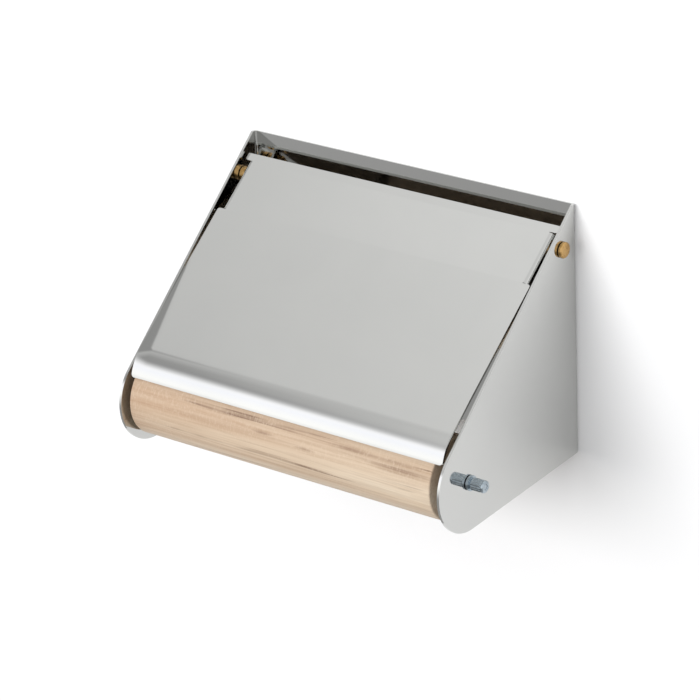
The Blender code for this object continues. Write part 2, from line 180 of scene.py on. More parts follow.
NUT_OUTER_X = EAR_X - SHEET - TOUCH_GAP
NUT_INNER_X = NUT_OUTER_X - NUT_LENGTH
ROLLER_LEFT_X = -INNER_X + ROLLER_GAP_LEFT
ROLLER_RIGHT_X = INNER_X - ROLLER_GAP_RIGHT

# The pressed corner at the lid's lower left: its width at the lip, the world heights where
# its taper starts and ends, its slope at the edge, and the number of cuts each way.
DROOP_WIDTH = 0.0065
DROOP_LOW = -0.012
DROOP_HIGH = 0.012
DROOP_SLOPE = 0.10
DROOP_STEPS = 10

# Dark marks in the wood: world place at rest, radius and depth of colour.
GRAIN_MARKS = [
    ((0.056, -0.0848, -0.0290), 0.0030, 0.75),
    ((0.034, -0.0850, -0.0275), 0.0022, 0.60),
    ((-0.008, -0.0856, -0.0300), 0.0010, 0.95),
    ((0.012, -0.0858, -0.0320), 0.0009, 0.90),
]
# A distance along the grain counts this much in a mark's radius.
MARK_SQUASH = 0.16

# Studio. From the photo's side the lid's flat panel mirrors the sky near PANEL_TOWARD, and
# PANEL_ACROSS and PANEL_UP are the two directions across that one. Its lip mirrors LIP_TOWARD.
PANEL_TOWARD = (-0.573, -0.229, 0.787)
PANEL_ACROSS = (-0.372, 0.928, 0.0)
PANEL_UP = (0.730, 0.293, 0.617)
LIP_TOWARD = (-0.60, -0.78, 0.17)
# Brightness against height, from straight down (0) to straight up (1).
STUDIO_LEVELS = [
    (0.00, 0.45),
    (0.30, 0.42),
    (0.335, 0.50),
    (0.46, 1.25),
    (0.53, 1.62),
    (0.73, 1.70),
    (0.81, 1.30),
    (0.90, 0.95),
    (1.00, 0.90),
]
STUDIO_TINT = [
    (0.55, (1, 1, 1)),
    (0.64, (0.93, 0.94, 1.0)),
    (0.70, (0.97, 0.97, 1.0)),
    (0.80, (1, 1, 1)),
]
BRIGHTEST_MIRRORED = 1.12
LIP_BRIGHTNESS = 1.62
CORNER_BRIGHTNESS = 0.42
AMBIENT = 0.60
KEY_POWER = 32
KEY_SIZE = 1.3
KEY_PLACE = (-0.55, -2.2, 0.44)
# The wall plane lies within the back plate's thickness, so that the two faces don't fight.
WALL_INSET = 0.0003
WALL_HALF_SIZE = 3.0

# Camera, fitted to the photo.
CAMERA_AZIMUTH = math.radians(38.612)
CAMERA_ELEVATION = math.radians(23.314)
CAMERA_ROLL = math.radians(-2.378)
CAMERA_PLACE = (0.79057, -1.03117, 0.53484)
CAMERA_LENS = 188.63
CAMERA_SENSOR = 36
CAMERA_NEAR = 0.05

# Fineness of the meshes.
FINE = math.radians(2)
BEND_STEP = math.radians(5)
BOSS_STEP = math.radians(4)
CORNER_STEP = math.radians(10)
SEGMENTS = 96
SMALL_SEGMENTS = 64
GRIP_RIBS = 16
LIP_STEPS = 18
CORNER_STEPS = 8
RIM_STEPS = 6
PAN_STEPS = 12
BEVEL_SEGMENTS = 2
SHARP_ANGLE = math.radians(32)
SAME_PLACE = 1e-7

RIGHT_ANGLE = math.pi / 2
ALONG_X = Vector((1, 0, 0))
UPRIGHT = Vector((0, 0, 1))
OUTWARD = Vector((0, -1, 0))


# ---------------------------------------------------------------- shader helpers


class Nodes:
    """A node tree, with short calls to add and join nodes."""

    def __init__(self, tree):
        self.tree = tree

    def feed(self, socket, value):
        """Joins an output to the socket, or sets the socket to a plain value."""
        if isinstance(value, bpy.types.NodeSocket):
            self.tree.links.new(value, socket)
        else:
            socket.default_value = value

    def node(self, kind, inputs=(), **settings):
        made = self.tree.nodes.new(kind)
        for key, value in settings.items():
            setattr(made, key, value)
        for key, value in dict(inputs).items():
            self.feed(made.inputs[key], value)
        return made

    def math(self, operation, *values):
        made = self.node("ShaderNodeMath", enumerate(values), operation=operation)
        return made.outputs[0]

    def coordinates(self, scale=(1, 1, 1)):
        place = self.node("ShaderNodeTexCoord").outputs["Object"]
        return self.node("ShaderNodeMapping", {"Vector": place, "Scale": scale}).outputs[0]

    def noise(self, vector, scale, detail=2.0, roughness=0.5, distortion=0.0):
        inputs = {
            "Vector": vector,
            "Scale": scale,
            "Detail": detail,
            "Roughness": roughness,
            "Distortion": distortion,
        }
        return self.node("ShaderNodeTexNoise", inputs).outputs["Fac"]

    def remap(self, value, low, high, to_low, to_high, kind="LINEAR"):
        """The value carried from low..high to to_low..to_high, and held at both ends."""
        inputs = {
            "Value": value,
            "From Min": low,
            "From Max": high,
            "To Min": to_low,
            "To Max": to_high,
        }
        return self.node("ShaderNodeMapRange", inputs, interpolation_type=kind).outputs[0]

    def smooth(self, value, low, high):
        return self.remap(value, low, high, 0, 1, kind="SMOOTHSTEP")

    def blend(self, factor, value, other):
        """One number between two: sockets 0, 2 and 3 are the float ones of a Mix node."""
        inputs = {0: factor, 2: value, 3: other}
        return self.node("ShaderNodeMix", inputs, data_type="FLOAT").outputs[0]

    def vector_math(self, operation, *values):
        return self.node("ShaderNodeVectorMath", enumerate(values), operation=operation)

    def dot(self, vector, direction):
        return self.vector_math("DOT_PRODUCT", vector, direction).outputs["Value"]

    def ramp(self, factor, stops):
        made = self.node("ShaderNodeValToRGB", {"Fac": factor})
        elements = made.color_ramp.elements
        while len(elements) < len(stops):
            elements.new(0.5)
        for element, (position, color) in zip(elements, stops):
            element.position = position
            element.color = (*color, 1)
        return made.outputs["Color"]

    def mix(self, factor, first, second):
        """A colour between two: sockets 0, 6 and 7 are the colour ones of a Mix node."""
        inputs = {0: factor}
        for index, color in ((6, first), (7, second)):
            inputs[index] = color if isinstance(color, bpy.types.NodeSocket) else (*color, 1)
        return self.node("ShaderNodeMix", inputs, data_type="RGBA").outputs[2]

    def bump(self, height, strength, distance, normal=None):
        inputs = {"Height": height, "Strength": strength, "Distance": distance}
        if normal is not None:
            inputs["Normal"] = normal
        return self.node("ShaderNodeBump", inputs).outputs[0]


class Shader(Nodes):
    """The node tree of a new material."""

    def __init__(self, name):
        self.material = bpy.data.materials.new(name)
        self.material.use_nodes = True
        super().__init__(self.material.node_tree)
        self.surface = self.tree.nodes["Principled BSDF"]
        self.output = self.tree.nodes["Material Output"]

    def set(self, **values):
        """Feeds the surface's inputs, each named with _ for its spaces."""
        for key, value in values.items():
            self.feed(self.surface.inputs[key.replace("_", " ")], value)


def polished_steel():
    """Mirror-polished stainless sheet: faint buffing lines, soft smudges and a very slight wave."""
    s = Shader("stainless_steel")
    lines = s.noise(s.coordinates(scale=(6, 260, 260)), 14, detail=3, roughness=0.6)
    smudge = s.noise(s.coordinates(), 26, detail=4, roughness=0.6, distortion=0.4)
    smudged = s.remap(smudge, 0.35, 0.75, 0.050, 0.085)
    rough = s.math("ADD", smudged, s.remap(lines, 0.3, 0.7, -0.008, 0.008))
    wave = s.noise(s.coordinates(), 16, detail=1)
    color = s.mix(s.remap(smudge, 0.3, 0.8, 0, 1), (0.605, 0.607, 0.592), (0.585, 0.588, 0.575))
    normal = s.bump(wave, 0.10, 0.0006)
    normal = s.bump(lines, 0.03, 0.00002, normal)
    s.set(Base_Color=color, Metallic=1.0, Roughness=rough, Normal=normal)
    return s.material


def brass():
    """Turned brass, gently darkened in the corners of its turning marks."""
    s = Shader("brass")
    turning = s.noise(s.coordinates(scale=(2200, 60, 60)), 1.0, detail=2)
    tarnish = s.noise(s.coordinates(), 420, detail=4, roughness=0.65)
    color = s.ramp(
        s.math("ADD", s.math("MULTIPLY", tarnish, 0.7), s.math("MULTIPLY", turning, 0.3)),
        [(0.30, (0.30, 0.17, 0.06)), (0.50, (0.52, 0.32, 0.12)), (0.75, (0.68, 0.45, 0.20))],
    )
    rough = s.remap(tarnish, 0.3, 0.7, 0.20, 0.34)
    s.set(Base_Color=color, Metallic=1.0, Roughness=rough, Normal=s.bump(turning, 0.15, 0.00004))
    return s.material


def zinc():
    """Bright zinc plate: cool grey, slightly cloudy."""
    s = Shader("zinc_plated_steel")
    cloud = s.noise(s.coordinates(), 700, detail=3)
    color = s.mix(s.remap(cloud, 0.3, 0.7, 0, 1), (0.27, 0.32, 0.36), (0.46, 0.52, 0.56))
    rough = s.remap(cloud, 0.3, 0.7, 0.06, 0.14)
    s.set(Base_Color=color, Metallic=1.0, Roughness=rough, Normal=s.bump(cloud, 0.08, 0.00003))
    return s.material


def dark_marks(s, color, frayed):
    """The colour with GRAIN_MARKS on it, drawn out along the grain and frayed at their sides."""
    for place, reach, depth in GRAIN_MARKS:
        away = s.vector_math("SUBTRACT", s.coordinates(), place).outputs[0]
        squashed = s.vector_math("MULTIPLY", away, (MARK_SQUASH, 1, 1)).outputs[0]
        far = s.vector_math("LENGTH", squashed).outputs["Value"]
        near = s.math("MULTIPLY", s.remap(far, reach, reach * 0.2, 0, depth), frayed)
        color = s.mix(near, color, (0.20, 0.11, 0.065))
    return color


def maple():
    """Turned maple, its grain along X: pale and pinkish streaks, dark lines and marks, flecks, and
    painted shade on its upper side.
    """
    s = Shader("maple")
    warp = s.noise(s.coordinates(scale=(9, 30, 30)), 1.0, detail=2)
    along_grain = s.coordinates(scale=(4, 110, 110))
    bands = s.noise(along_grain, 1.6, detail=5, roughness=0.6, distortion=0.6)
    fine = s.noise(s.coordinates(scale=(26, 1100, 1100)), 1.0, detail=4, roughness=0.7)
    patch = s.noise(s.coordinates(scale=(7, 75, 75)), 0.9, detail=2, distortion=0.4)
    base = s.ramp(
        s.math("ADD", s.math("MULTIPLY", bands, 0.8), s.math("MULTIPLY", warp, 0.2)),
        [
            (0.34, (0.51, 0.36, 0.245)),
            (0.44, (0.68, 0.54, 0.395)),
            (0.54, (0.77, 0.65, 0.50)),
            (0.68, (0.81, 0.71, 0.57)),
        ],
    )
    # Painted shade: the roller's upper part, under the lid, is mixed toward a darker brown, more so
    # higher up.
    level = s.node("ShaderNodeSeparateXYZ", {0: s.coordinates()}).outputs["Z"]
    ragged = s.math("ADD", level, s.math("MULTIPLY", patch, 0.012))
    upper = s.remap(ragged, -0.036, -0.024, 0, 0.55)
    with_painted_top_shade = s.mix(upper, base, (0.50, 0.35, 0.235))
    pink = s.mix(s.remap(patch, 0.48, 0.66, 0, 0.40), with_painted_top_shade, (0.45, 0.29, 0.19))
    streaked = s.mix(s.remap(fine, 0.42, 0.70, 0.0, 0.40), pink, (0.36, 0.235, 0.15))
    lines = s.noise(s.coordinates(scale=(10, 520, 520)), 1.0, detail=2, distortion=0.3)
    broken = s.noise(s.coordinates(scale=(28, 90, 90)), 1.0, detail=2)
    broken_up = s.remap(broken, 0.48, 0.62, 0, 0.75)
    line = s.math("MULTIPLY", s.remap(lines, 0.60, 0.68, 0, 1), broken_up)
    lined = s.mix(line, streaked, (0.17, 0.095, 0.06))
    marked = dark_marks(s, lined, s.remap(lines, 0.38, 0.56, 0.25, 1))
    flecks = s.noise(s.coordinates(scale=(900, 420, 420)), 1.6, detail=3, roughness=0.6)
    where = s.noise(s.coordinates(scale=(40, 80, 80)), 1.2, detail=1)
    fleck_share = s.remap(where, 0.36, 0.60, 0.10, 0.38)
    fleck = s.math("MULTIPLY", s.remap(flecks, 0.50, 0.66, 0, 1), fleck_share)
    color = s.mix(fleck, marked, (0.68, 0.55, 0.42))
    pores = s.noise(s.coordinates(scale=(90, 2600, 2600)), 1.0, detail=2)
    height = s.math("ADD", s.math("MULTIPLY", fine, 0.6), s.math("MULTIPLY", pores, 0.4))
    rough = s.remap(bands, 0.3, 0.7, 0.50, 0.62)
    s.set(Base_Color=color, Roughness=rough, Normal=s.bump(height, 0.30, 0.00012))
    s.set(Specular_IOR_Level=0.30)
    return s.material


MATERIALS = {
    "stainless_steel": polished_steel(),
    "brass": brass(),
    "zinc_plated_steel": zinc(),
    "maple": maple(),
}


# ---------------------------------------------------------------- mesh helpers


def at(x, reach, height):
    """The world point at a reach from the wall and a height above the bottom corner."""
    return Vector((x, -reach, BOTTOM_Z + height))


# Points on the lid's axis and on the roller's, in the holder's middle plane.
HINGE_POINT = at(0, HINGE_REACH, HINGE_HEIGHT)
ROLLER_POINT = at(0, ROLLER_REACH, ROLLER_HEIGHT)


def arc(center, radius, start, end, step=FINE):
    """Points of an arc in a plane, both ends included."""
    count = max(2, math.ceil(abs(end - start) / step))
    angles = [start + (end - start) * i / count for i in range(count + 1)]
    return [(center[0] + radius * math.cos(a), center[1] + radius * math.sin(a)) for a in angles]


def mesh_object(name, bm):
    """An object made from a bmesh, with its faces turned outward."""
    bmesh.ops.recalc_face_normals(bm, faces=bm.faces)
    mesh = bpy.data.meshes.new(name)
    bm.to_mesh(mesh)
    bm.free()
    obj = bpy.data.objects.new(name, mesh)
    bpy.context.scene.collection.objects.link(obj)
    return obj


def combine(obj, operation, bm):
    """Applies one solid to an object with a boolean."""
    tool = mesh_object("tool", bm)
    modifier = obj.modifiers.new("combine", "BOOLEAN")
    modifier.operation = operation
    modifier.solver = "EXACT"
    modifier.object = tool
    graph = bpy.context.evaluated_depsgraph_get()
    made = bpy.data.meshes.new_from_object(obj.evaluated_get(graph))
    obj.modifiers.clear()
    old = obj.data
    obj.data = made
    made.name = obj.name
    bpy.data.meshes.remove(old)
    bpy.data.objects.remove(tool)


def break_edges(obj, width):
    """Rounds every sharp edge a little and keeps flat faces flat in the shading."""
    for polygon in obj.data.polygons:
        polygon.use_smooth = True
    bevel = obj.modifiers.new("edge_break", "BEVEL")
    bevel.width = width
    bevel.segments = BEVEL_SEGMENTS
    bevel.limit_method = "ANGLE"
    bevel.angle_limit = SHARP_ANGLE
    bevel.harden_normals = True
    bevel.use_clamp_overlap = True


def finish_piece(obj, node, slot_name):
    """The piece stands for one CAD node, rides on that node's body and takes its material."""
    obj.data.materials.clear()
    obj.data.materials.append(MATERIALS[slot_name])
    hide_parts(node)
    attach(obj, frame["nodes"][node]["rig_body"])


def prism(outline, place, low, high):
    """A solid from a flat outline, carried from low to high by place(point, depth)."""
    bm = bmesh.new()
    near = [bm.verts.new(place(point, low)) for point in outline]
    far = [bm.verts.new(place(point, high)) for point in outline]
    bm.faces.new(near)
    bm.faces.new(list(reversed(far)))
    for i in range(len(outline)):
        j = (i + 1) % len(outline)
        bm.faces.new((near[j], near[i], far[i], far[j]))
    return bm


def turned(profile, center, axis=ALONG_X, segments=SEGMENTS, grooved=(), ring=False):
    """A solid of revolution from (position along the axis, radius) points.

    At the profile indices in grooved the radius waves between ridge and groove. ring closes
    a profile that has a hole through it; otherwise the profile starts and ends on the axis.
    """
    side = axis.orthogonal().normalized()
    up = axis.cross(side)
    bm = bmesh.new()
    rings = []
    for index, (along, radius) in enumerate(profile):
        if radius == 0:
            rings.append([bm.verts.new(center + axis * along)] * segments)
            continue
        loop = []
        for k in range(segments):
            turn = 2 * math.pi * k / segments
            depth = 0
            if index in grooved:
                depth = GRIP_GROOVE * (0.5 - 0.5 * math.cos(GRIP_RIBS * turn))
            spoke = side * math.cos(turn) + up * math.sin(turn)
            loop.append(bm.verts.new(center + axis * along + spoke * (radius - depth)))
        rings.append(loop)
    pairs = list(zip(rings, rings[1:]))
    if ring:
        pairs.append((rings[-1], rings[0]))
    for lower, upper in pairs:
        for k in range(segments):
            m = (k + 1) % segments
            corners = [lower[k], lower[m], upper[m], upper[k]]
            bm.faces.new(list(dict.fromkeys(corners)))
    return bm


def tangent_points(point, center, radius):
    """The angles, seen from a circle's centre, of the two tangents from an outside point."""
    across = point[0] - center[0]
    up = point[1] - center[1]
    toward = math.atan2(up, across)
    spread = math.acos(radius / math.hypot(across, up))
    return toward - spread, toward + spread


def rod_tool(center, radius, axis=ALONG_X, low=-BODY_WIDTH, high=BODY_WIDTH):
    """A plain rod that cuts a round hole."""
    profile = [(low, 0), (low, radius), (high, radius), (high, 0)]
    return turned(profile, center, axis, SMALL_SEGMENTS)


def quarter_turn(steps):
    """Angles from 0 to a right angle, both ends included."""
    return [RIGHT_ANGLE * i / steps for i in range(steps + 1)]


# ---------------------------------------------------------------- body


def cheek_outline():
    """The cheeks' side view: wall edge, ledge, sloped front edge, round lobe, sloped underside."""
    lobe = (LOBE_REACH, LOBE_HEIGHT)
    front_start, _ = tangent_points((TOP_LEDGE, BODY_HEIGHT), lobe, LOBE_RADIUS)
    _, under_end = tangent_points((0, 0), lobe, LOBE_RADIUS)
    under_slope = under_end + RIGHT_ANGLE
    corner_lift = BOTTOM_CORNER_RADIUS * math.tan(math.pi / 4 + under_slope / 2)
    corner = (BOTTOM_CORNER_RADIUS, corner_lift)
    return (
        [(0, BODY_HEIGHT), (TOP_LEDGE, BODY_HEIGHT)]
        + arc(lobe, LOBE_RADIUS, front_start, under_end)
        + arc(corner, BOTTOM_CORNER_RADIUS, under_end, -math.pi, CORNER_STEP)
    )


def channel_outline():
    """The body's plan view as (x, reach): a U of one sheet thickness, bent at both back corners."""
    inner_radius = BEND_RADIUS - SHEET
    front = LOBE_REACH + 2 * LOBE_RADIUS
    bend_x = OUTER_X - BEND_RADIUS
    outer = (
        [(OUTER_X, front)]
        + arc((bend_x, BEND_RADIUS), BEND_RADIUS, 0, -RIGHT_ANGLE, BEND_STEP)
        + arc((-bend_x, BEND_RADIUS), BEND_RADIUS, -RIGHT_ANGLE, -math.pi, BEND_STEP)
        + [(-OUTER_X, front)]
    )
    inner = (
        [(-INNER_X, front)]
        + arc((-bend_x, BEND_RADIUS), inner_radius, -math.pi, -RIGHT_ANGLE, BEND_STEP)
        + arc((bend_x, BEND_RADIUS), inner_radius, -RIGHT_ANGLE, 0, BEND_STEP)
        + [(INNER_X, front)]
    )
    return outer + inner


def build_body():
    """The folded body: its plan view, cut to the cheeks' side view and bored."""

    def from_above(point, height):
        return at(point[0], point[1], height)

    def from_side(point, x):
        return at(x, *point)

    drop = LOBE_RADIUS
    channel = prism(channel_outline(), from_above, -drop, BODY_HEIGHT + drop)
    body = mesh_object("body_sheet", channel)
    combine(body, "INTERSECT", prism(cheek_outline(), from_side, -BODY_WIDTH, BODY_WIDTH))
    combine(body, "DIFFERENCE", rod_tool(HINGE_POINT, HINGE_HOLE_RADIUS))
    combine(body, "DIFFERENCE", rod_tool(ROLLER_POINT, PIN_HOLE_RADIUS, low=0))
    for x in (-SCREW_SPACING / 2, SCREW_SPACING / 2):
        hole = rod_tool(at(x, 0, SCREW_HEIGHT), SCREW_HOLE_RADIUS, OUTWARD, -4 * SHEET, 4 * SHEET)
        combine(body, "DIFFERENCE", hole)
    break_edges(body, EDGE_BREAK)
    finish_piece(body, "body_shell", "stainless_steel")


# ---------------------------------------------------------------- lid


def on_lid(along, depth):
    """(reach, height) of a point this far down the lid's slope and this deep under its face."""
    reach = LID_TOP_REACH + along * math.cos(LID_SLOPE) - depth * math.sin(LID_SLOPE)
    height = LID_TOP_HEIGHT - along * math.sin(LID_SLOPE) - depth * math.cos(LID_SLOPE)
    return reach, height


def on_lip(turn, depth):
    """As on_lid, for a point turned this far round the lip's curl."""
    radius = LIP_RADIUS - depth
    along = LID_PANEL_LENGTH + radius * math.sin(turn)
    return on_lid(along, LIP_RADIUS - radius * math.cos(turn))


def corner_inset(distance, radius):
    """How far a rounded corner has drawn the side in, this far from the end of a sheet."""
    if distance >= radius:
        return 0
    return radius - math.sqrt(radius**2 - (radius - distance) ** 2)


def ear_stations():
    """The lower edge of an ear as (along, depth): a round hinge boss, then a straight run."""
    hinge = (HINGE_ALONG, HINGE_DEPTH)
    end = (EAR_BOTTOM, EAR_END_DEPTH)
    start_turn = math.acos((EAR_TOP - HINGE_ALONG) / EAR_BOSS_RADIUS)
    _, end_turn = tangent_points(end, hinge, EAR_BOSS_RADIUS)
    return [*arc(hinge, EAR_BOSS_RADIUS, start_turn, end_turn, BOSS_STEP), end]


def ear_section(depth):
    """Half of the lid's section at an ear, as (x, depth): the ear's outer side, then its inner."""
    bend = (EAR_X - EAR_BEND_RADIUS, EAR_BEND_RADIUS)
    outer = arc(bend, EAR_BEND_RADIUS, -RIGHT_ANGLE, 0, BEND_STEP)
    inner = arc(bend, EAR_BEND_RADIUS - SHEET, -RIGHT_ANGLE, 0, BEND_STEP)
    return [*outer, (EAR_X, depth), (EAR_X - SHEET, depth), *reversed(inner)]


def shoulder_stations(along, toward):
    """Where the sheet widens from between the ears to its full width, as (along, half width)."""
    stations = [(along, EAR_X - EAR_BEND_RADIUS)]
    for t in quarter_turn(CORNER_STEPS):
        down = LID_SHOULDER_RADIUS * (1 - math.cos(t))
        half = LID_X - corner_inset(down, LID_SHOULDER_RADIUS)
        stations.append((along + toward * (EAR_RELIEF / 2 + down), half))
    return stations


def lip_stations():
    """The curled lip as (turn, half width), closer together at its rounded corners."""
    corner_turn = LIP_CORNER_RADIUS / LIP_RADIUS
    turns = [(LIP_TURN - corner_turn) * i / LIP_STEPS for i in range(LIP_STEPS)]
    turns += [LIP_TURN - corner_turn * (1 - math.sin(t)) for t in quarter_turn(CORNER_STEPS)]
    return [
        (turn, LID_X - corner_inset((LIP_TURN - turn) * LIP_RADIUS, LIP_CORNER_RADIUS))
        for turn in turns
    ]


def bridge(bm, upper, lower):
    """Faces between two matching rings of vertices."""
    for k in range(len(upper)):
        m = (k + 1) % len(upper)
        bm.faces.new((upper[m], upper[k], lower[k], lower[m]))


def sheet_ring(bm, outer, inner, half):
    """The four corners of a flat section across the lid."""
    corners = ((half, outer), (half, inner), (-half, inner), (-half, outer))
    return [bm.verts.new(at(x, *point)) for x, point in corners]


def flat_rings(bm, stations):
    """A section across the lid's flat part at each (along, half width)."""
    return [sheet_ring(bm, on_lid(a, 0), on_lid(a, SHEET), half) for a, half in stations]


def lid_mesh():
    """The lid as one sheet: a strip above the ears, eared rings, then the panel and its lip."""
    bm = bmesh.new()
    eared = []
    for along, depth in ear_stations():
        half = ear_section(depth)
        points = half + [(-x, d) for x, d in reversed(half)]
        eared.append([bm.verts.new(at(x, *on_lid(along, d))) for x, d in points])
    side = len(ear_section(EAR_END_DEPTH))
    necks = []
    for ring in (eared[0], eared[-1]):
        bm.faces.new(ring[:side])
        bm.faces.new(ring[side:])
        necks.append([ring[0], ring[side - 1], ring[side], ring[-1]])
    above = shoulder_stations(EAR_TOP - EAR_RELIEF, -1) + [(0, LID_X)]
    top = [necks[0], *flat_rings(bm, above)]
    below = flat_rings(bm, shoulder_stations(EAR_BOTTOM + EAR_RELIEF, 1))
    lip = [
        sheet_ring(bm, on_lip(turn, 0), on_lip(turn, SHEET), half)
        for turn, half in lip_stations()
    ]
    bottom = [necks[1], *below, *lip]
    for rings in (eared, top, bottom):
        for upper, lower in zip(rings, rings[1:]):
            bridge(bm, upper, lower)
    bm.faces.new(top[-1])
    bm.faces.new(bottom[-1])
    return bm


def press_corner(lid):
    """Turns the lid's lower left corner down a little, and keeps the sheet's thickness."""
    bm = bmesh.new()
    bm.from_mesh(lid.data)
    corner_x = -LID_X + DROOP_WIDTH

    def cut(point, direction):
        faces = [f for f in bm.faces if min(v.co.x for v in f.verts) < corner_x]
        edges = {e for f in faces for e in f.edges}
        verts = {v for f in faces for v in f.verts}
        bmesh.ops.bisect_plane(
            bm,
            geom=[*verts, *edges, *faces],
            dist=SAME_PLACE,
            plane_co=point,
            plane_no=direction,
        )

    for i in range(DROOP_STEPS, 0, -1):
        cut((-LID_X + DROOP_WIDTH * i / DROOP_STEPS, 0, 0), ALONG_X)
    for i in range(DROOP_STEPS + 1):
        cut((0, 0, DROOP_LOW + (DROOP_HIGH - DROOP_LOW) * i / DROOP_STEPS), UPRIGHT)
    down = Vector((0, math.sin(LID_SLOPE), -math.cos(LID_SLOPE)))
    for v in bm.verts:
        taper = (DROOP_HIGH - v.co.z) / (DROOP_HIGH - DROOP_LOW)
        width = DROOP_WIDTH * min(max(taper, 0), 1)
        inward = v.co.x + LID_X
        if width > 0 and inward < width:
            v.co += down * (1 - inward / width) ** 2 * width * DROOP_SLOPE / 2
    bm.to_mesh(lid.data)
    bm.free()


def build_lid():
    """The lid, bored for its bolts."""
    lid = mesh_object("lid_sheet", lid_mesh())
    combine(lid, "DIFFERENCE", rod_tool(HINGE_POINT, HINGE_HOLE_RADIUS))
    press_corner(lid)
    break_edges(lid, EDGE_BREAK)
    finish_piece(lid, "lid", "stainless_steel")


# ---------------------------------------------------------------- hinge


def build_bolt(side, sign):
    """A low domed bolt, put in from outside, with its end past the nut."""
    head_base = OUTER_X + TOUCH_GAP
    rim = head_base + BOLT_RIM_LENGTH
    dome_width = BOLT_HEAD_RADIUS - BOLT_FACE_RADIUS
    bolt_end = NUT_INNER_X - BOLT_END_PAST_NUT
    tip = BOLT_SHANK_RADIUS / 4
    dome = [
        (
            rim + (BOLT_HEAD_LENGTH - BOLT_RIM_LENGTH) * math.sin(t),
            BOLT_FACE_RADIUS + dome_width * math.cos(t),
        )
        for t in quarter_turn(CORNER_STEPS)
    ]
    face = dome[-1][0]
    profile = [
        (bolt_end, 0),
        (bolt_end, BOLT_SHANK_RADIUS - tip),
        (bolt_end + tip, BOLT_SHANK_RADIUS),
        (head_base, BOLT_SHANK_RADIUS),
        (head_base, BOLT_HEAD_RADIUS - BOLT_HEAD_EASE),
        (head_base + BOLT_HEAD_EASE, BOLT_HEAD_RADIUS),
        *dome,
        (face, 0),
    ]
    solid = turned(profile, HINGE_POINT, Vector((sign, 0, 0)), SMALL_SEGMENTS)
    bolt = mesh_object(f"hinge_bolt_{side}_turned", solid)
    break_edges(bolt, EDGE_BREAK / 2)
    finish_piece(bolt, f"hinge_bolt_{side}", "brass")


def build_spacer(side, sign):
    """The sleeve on a bolt, between the cheek and the lid's ear."""
    inner = EAR_X + TOUCH_GAP
    outer = INNER_X - TOUCH_GAP
    profile = [
        (inner, HINGE_HOLE_RADIUS),
        (inner, SPACER_RADIUS),
        (outer, SPACER_RADIUS),
        (outer, HINGE_HOLE_RADIUS),
    ]
    solid = turned(profile, HINGE_POINT, Vector((sign, 0, 0)), SMALL_SEGMENTS, ring=True)
    spacer = mesh_object(f"hinge_spacer_{side}_turned", solid)
    break_edges(spacer, EDGE_BREAK)
    finish_piece(spacer, f"hinge_spacer_{side}", "brass")


def build_nut(side, sign):
    """The nut inside an ear, its corners cut back at both faces."""
    corner = NUT_ACROSS_FLATS / math.sqrt(3)
    outline = [
        (
            HINGE_REACH + corner * math.cos(math.pi / 3 * i - LID_SLOPE),
            HINGE_HEIGHT + corner * math.sin(math.pi / 3 * i - LID_SLOPE),
        )
        for i in range(6)
    ]
    low, high = sorted((sign * NUT_INNER_X, sign * NUT_OUTER_X))
    hexagon = prism(outline, lambda point, x: at(x, *point), low, high)
    nut = mesh_object(f"hinge_nut_{side}_hex", hexagon)
    crown = [
        (NUT_INNER_X, 0),
        (NUT_INNER_X, corner - NUT_CHAMFER_DEPTH),
        (NUT_INNER_X + NUT_CHAMFER_LENGTH, corner),
        (NUT_OUTER_X - NUT_CHAMFER_LENGTH, corner),
        (NUT_OUTER_X, corner - NUT_CHAMFER_DEPTH),
        (NUT_OUTER_X, 0),
    ]
    turned_crown = turned(crown, HINGE_POINT, Vector((sign, 0, 0)), SMALL_SEGMENTS)
    combine(nut, "INTERSECT", turned_crown)
    combine(nut, "DIFFERENCE", rod_tool(HINGE_POINT, HINGE_HOLE_RADIUS))
    break_edges(nut, EDGE_BREAK / 2)
    finish_piece(nut, f"hinge_nut_{side}", "brass")


# ---------------------------------------------------------------- roller and pins


def build_roller():
    """The wooden roller, its rims eased, bored at each end for the pin that carries it."""
    ease = ROLLER_CHAMFER
    left_rim = [
        (ROLLER_LEFT_X + ease * (1 - math.sin(t)), ROLLER_RADIUS - ease * (1 - math.cos(t)))
        for t in reversed(quarter_turn(RIM_STEPS))
    ]
    right_rim = [
        (ROLLER_RIGHT_X - ease * (1 - math.sin(t)), ROLLER_RADIUS - ease * (1 - math.cos(t)))
        for t in quarter_turn(RIM_STEPS)
    ]
    profile = [
        (ROLLER_LEFT_X + BORE_DEPTH_LEFT, 0),
        (ROLLER_LEFT_X + BORE_DEPTH_LEFT, PIN_HOLE_RADIUS),
        (ROLLER_LEFT_X, PIN_HOLE_RADIUS),
        *left_rim,
        *right_rim,
        (ROLLER_RIGHT_X, PIN_HOLE_RADIUS),
        (ROLLER_RIGHT_X - BORE_DEPTH_RIGHT, PIN_HOLE_RADIUS),
        (ROLLER_RIGHT_X - BORE_DEPTH_RIGHT, 0),
    ]
    roller = mesh_object("roller_turned", turned(profile, ROLLER_POINT, segments=2 * SEGMENTS))
    break_edges(roller, EDGE_BREAK)
    finish_piece(roller, "roller", "maple")


def build_stud():
    """The stud fixed to the inside of the left cheek."""
    base = -INNER_X + TOUCH_GAP
    flange_face = base + STUD_FLANGE_LENGTH
    tip = ROLLER_LEFT_X + STUD_REACH_INTO_BORE
    chamfer = PIN_RADIUS / 4
    profile = [
        (base, 0),
        (base, STUD_FLANGE_RADIUS),
        (flange_face, STUD_FLANGE_RADIUS),
        (flange_face, PIN_RADIUS),
        (tip - chamfer, PIN_RADIUS),
        (tip, PIN_RADIUS - chamfer),
        (tip, 0),
    ]
    solid = turned(profile, ROLLER_POINT, segments=SMALL_SEGMENTS)
    stud = mesh_object("roller_stud_turned", solid)
    break_edges(stud, EDGE_BREAK)
    finish_piece(stud, "roller_stud", "zinc_plated_steel")


